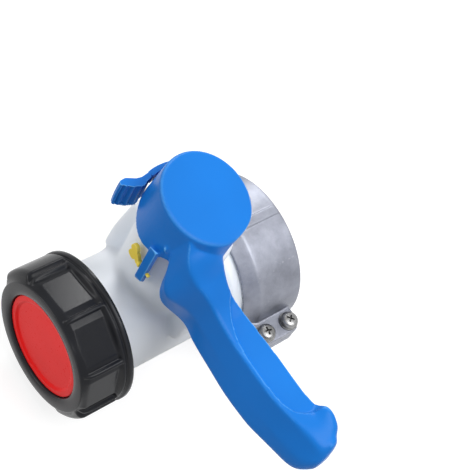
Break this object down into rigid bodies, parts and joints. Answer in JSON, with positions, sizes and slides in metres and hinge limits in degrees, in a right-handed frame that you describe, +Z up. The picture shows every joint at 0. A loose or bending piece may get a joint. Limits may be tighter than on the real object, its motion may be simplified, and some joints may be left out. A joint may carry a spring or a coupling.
{
  "type": "bulk tank outlet butterfly valve",
  "caption": "Plastic butterfly valve for a bulk tank outlet: clamp ring, tube with screw cap, stem tower and turning lever with latch and seal.",
  "frame": {"origin": "centre of the clamp ring's rear face, on the flow axis", "axes": "+Y along the flow axis into the tank, so the outlet points to -Y; +Z up along the stem; +X the side that the closed handle points to"},
  "size_m": [0.1742, 0.133, 0.143],
  "materials": {
    "natural_plastic": "satin, slightly translucent moulding",
    "white_plastic": "satin moulding",
    "black_rubber": "matt",
    "cast_aluminium": "as cast",
    "zinc_steel": "zinc plated",
    "blue_plastic": "semi gloss moulding",
    "yellow_plastic": "semi gloss moulding",
    "red_plastic": "semi gloss moulding",
    "black_plastic": "gloss moulding"
  },
  "bodies": {
    "valve": {"valve_body": "natural_plastic", "stem_bush": "white_plastic", "tank_gasket": "black_rubber", "clamp_upper_half": "cast_aluminium", "clamp_lower_half": "cast_aluminium", "clamp_hinge_pin": "zinc_steel", "clamp_screws": "zinc_steel", "clamp_washers": "zinc_steel", "clamp_nuts": "zinc_steel"},
    "turner": {"handle": "blue_plastic", "stem": "white_plastic", "stem_o_rings": "black_rubber", "disc": "white_plastic", "disc_seal": "black_rubber", "disc_pins": "zinc_steel", "latch_pin": "zinc_steel"},
    "latch": {"latch_lever": "blue_plastic", "latch_spring": "zinc_steel"},
    "seal": {"tamper_seal": "yellow_plastic"},
    "closure": {"sealing_plate": "red_plastic", "cap_gasket": "black_rubber"},
    "cap": {"cap_ring": "black_plastic"}
  },
  "joints": [
    {"name": "handle_turn", "type": "hinge", "parent": "valve", "child": "turner", "pos_m": [0, -0.0675, 0.06], "axis": [0, 0, 1], "range_deg": [-90, 0]},
    {"name": "latch_swing", "type": "hinge", "parent": "turner", "child": "latch", "pos_m": [-0.02546, -0.0528, 0.0776], "axis": [0, 0, 1], "range_deg": [-12, 0], "stiffness_Nm_per_rad": 0.02},
    {"name": "seal_pull", "type": "slide", "parent": "turner", "child": "seal", "axis": [-1, 0, 0], "range_m": [0, 0.014]},
    {"name": "cap_travel", "type": "slide", "parent": "valve", "child": "closure", "axis": [0, -1, 0], "range_m": [0, 0.0181]},
    {"name": "cap_turn", "type": "hinge", "parent": "closure", "child": "cap", "pos_m": [0, -0.12, 0], "axis": [0, -1, 0], "range_deg": [0, 1080]}
  ],
  "couplings": [
    {"joint": "cap_travel", "follows": "cap_turn", "m_per_rad": 0.00095493}
  ]
}
